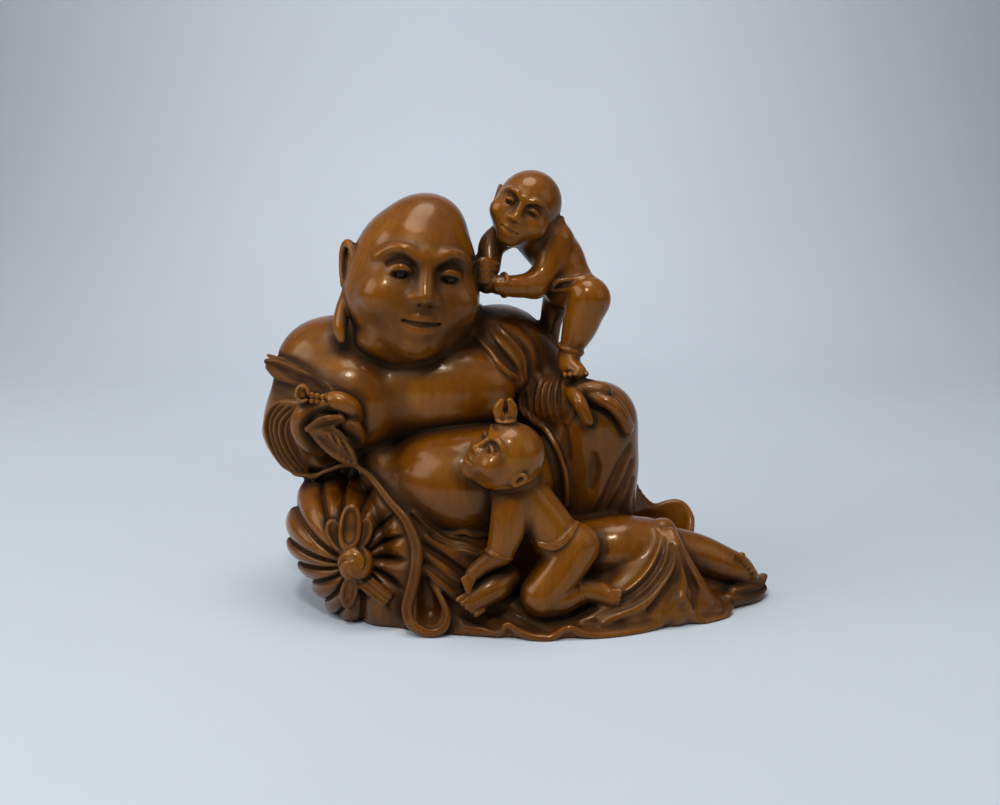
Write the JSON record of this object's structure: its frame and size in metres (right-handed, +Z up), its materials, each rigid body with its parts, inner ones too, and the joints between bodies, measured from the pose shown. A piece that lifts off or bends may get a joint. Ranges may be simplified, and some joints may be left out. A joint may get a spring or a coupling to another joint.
{
  "type": "carved wooden statue",
  "caption": "Carved boxwood statue of a stout seated monk with a tied sack and small boys climbing over the figure, standing on a flat underside.",
  "frame": {"origin": "on the flat underside, below the middle of the seated figure", "axes": "+Z up; -Y is the statue's front; +X runs along its length, towards the monk's outstretched foot"},
  "size_m": [0.1814, 0.1011, 0.1521],
  "materials": {
    "boxwood": "polished and waxed, dark brown in the recesses, warm orange-brown on the rounded forms",
    "dark_horn": "polished, nearly black"
  },
  "bodies": {
    "root": {"carving": "boxwood", "eye_left": "dark_horn", "eye_right": "dark_horn"}
  },
  "joints": []
}
